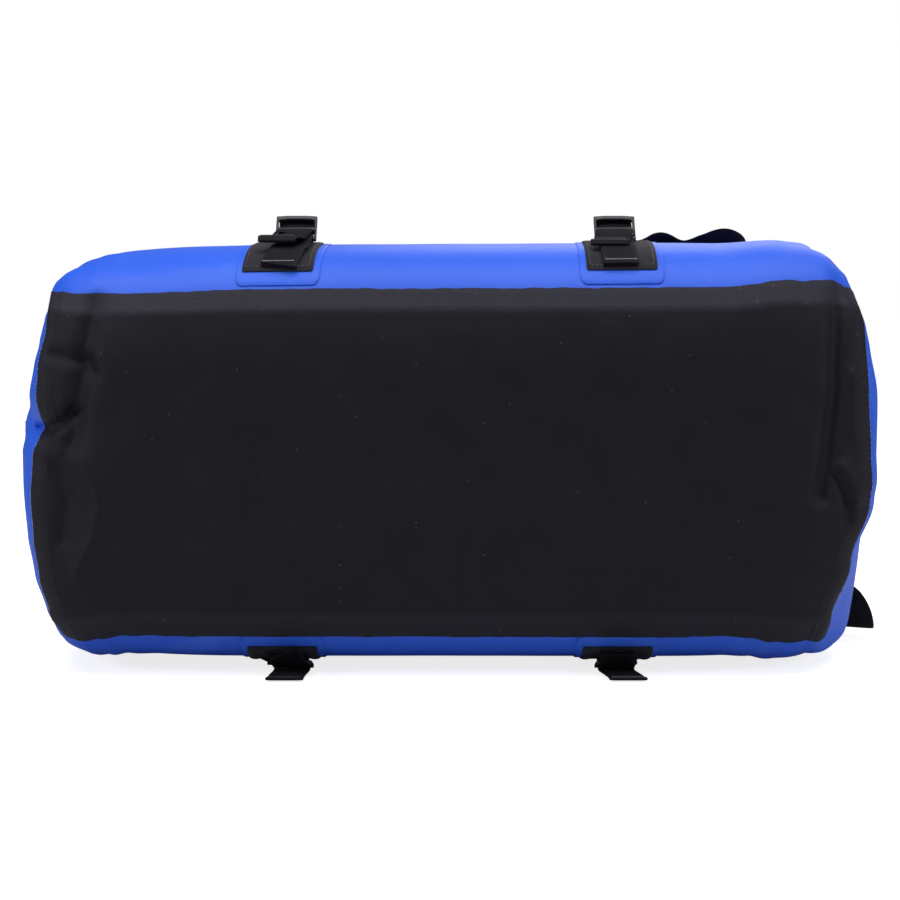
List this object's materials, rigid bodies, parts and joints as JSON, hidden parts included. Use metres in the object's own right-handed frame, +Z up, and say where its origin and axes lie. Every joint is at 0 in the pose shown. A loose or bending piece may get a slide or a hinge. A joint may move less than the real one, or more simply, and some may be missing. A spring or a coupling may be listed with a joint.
{
  "type": "roll-top duffel dry bag",
  "caption": "Waterproof roll-top duffel of coated fabric, lying on its side, with a reinforced base, carry straps with ladder locks, grab handles and side-release closures.",
  "frame": {"origin": "on the floor under the middle of the bag as it lies on its back side, halfway along its length and its depth", "axes": "+X along the bag's length, +Y from its base to its rolled mouth, +Z up, from its back side to its front side"},
  "size_m": [0.6589, 0.3006, 0.3202],
  "materials": {
    "blue_tarpaulin": "satin coated fabric",
    "black_base": "matte coated fabric with a fine weave",
    "black_webbing": "matte woven webbing",
    "black_plastic": "moulded satin black",
    "white_strip": "plain flexible strip"
  },
  "bodies": {
    "bag": {"base_panel": "black_base", "front_panel": "blue_tarpaulin", "back_panel": "blue_tarpaulin", "end_panel_left": "blue_tarpaulin", "end_panel_right": "blue_tarpaulin", "weld_patch_front_left": "blue_tarpaulin", "strap_patch_front_left": "black_webbing", "lock_loop_front_left": "black_webbing", "weld_patch_front_right": "blue_tarpaulin", "strap_patch_front_right": "black_webbing", "lock_loop_front_right": "black_webbing", "weld_patch_back_left": "blue_tarpaulin", "strap_patch_back_left": "black_webbing", "lock_loop_back_left": "black_webbing", "weld_patch_back_right": "blue_tarpaulin", "strap_patch_back_right": "black_webbing", "lock_loop_back_right": "black_webbing", "end_patch_left": "black_webbing", "buckle_anchor_left": "black_webbing", "buckle_female_left": "black_plastic", "handle_foot_base_left": "black_webbing", "handle_foot_mouth_left": "black_webbing", "end_patch_right": "black_webbing", "buckle_anchor_right": "black_webbing", "buckle_female_right": "black_plastic", "handle_foot_base_right": "black_webbing", "handle_foot_mouth_right": "black_webbing"},
    "front_strap": {"carry_strap_front": "black_webbing", "grip_front": "black_webbing", "ladder_lock_front_left": "black_plastic", "ladder_lock_front_right": "black_plastic", "strap_tail_front_left": "black_webbing", "strap_tail_front_right": "black_webbing"},
    "back_strap": {"carry_strap_back": "black_webbing", "grip_back": "black_webbing", "ladder_lock_back_left": "black_plastic", "ladder_lock_back_right": "black_plastic", "strap_tail_back_left": "black_webbing", "strap_tail_back_right": "black_webbing"},
    "roll": {"mouth_roll": "blue_tarpaulin", "stiffener_inner": "white_strip", "stiffener_outer": "white_strip"},
    "clip_left": {"buckle_male_left": "black_plastic", "closure_strap_left": "black_webbing"},
    "clip_right": {"buckle_male_right": "black_plastic", "closure_strap_right": "black_webbing"},
    "handle_left": {"grab_handle_left": "black_webbing"},
    "handle_right": {"grab_handle_right": "black_webbing"}
  },
  "joints": [
    {"name": "front_strap_swing", "type": "hinge", "parent": "bag", "child": "front_strap", "pos_m": [0, -0.095, 0.30854], "axis": [1, 0, 0], "range_deg": [0, 105], "deforming": ["strap_tail_front_left", "strap_tail_front_right"]},
    {"name": "back_strap_swing", "type": "hinge", "parent": "bag", "child": "back_strap", "pos_m": [0, -0.118, 0.00776], "axis": [-1, 0, 0], "range_deg": [0, 105], "deforming": ["strap_tail_back_left", "strap_tail_back_right"]},
    {"name": "roll_opening", "type": "slide", "parent": "bag", "child": "roll", "axis": [0, 1, 0], "range_m": [0, 0.09]},
    {"name": "clip_release_left", "type": "slide", "parent": "roll", "child": "clip_left", "axis": [0, 1, 0], "range_m": [0, 0.03], "deforming": ["closure_strap_left"]},
    {"name": "clip_release_right", "type": "slide", "parent": "roll", "child": "clip_right", "axis": [0, 1, 0], "range_m": [0, 0.03], "deforming": ["closure_strap_right"]},
    {"name": "handle_swing_left", "type": "hinge", "parent": "bag", "child": "handle_left", "pos_m": [-0.31037, 0.01413, 0.1335], "axis": [0.0767, 0.9971, 0], "range_deg": [0, 75]},
    {"name": "handle_swing_right", "type": "hinge", "parent": "bag", "child": "handle_right", "pos_m": [0.31037, 0.01413, 0.1335], "axis": [0.0767, -0.9971, 0], "range_deg": [0, 75]}
  ]
}
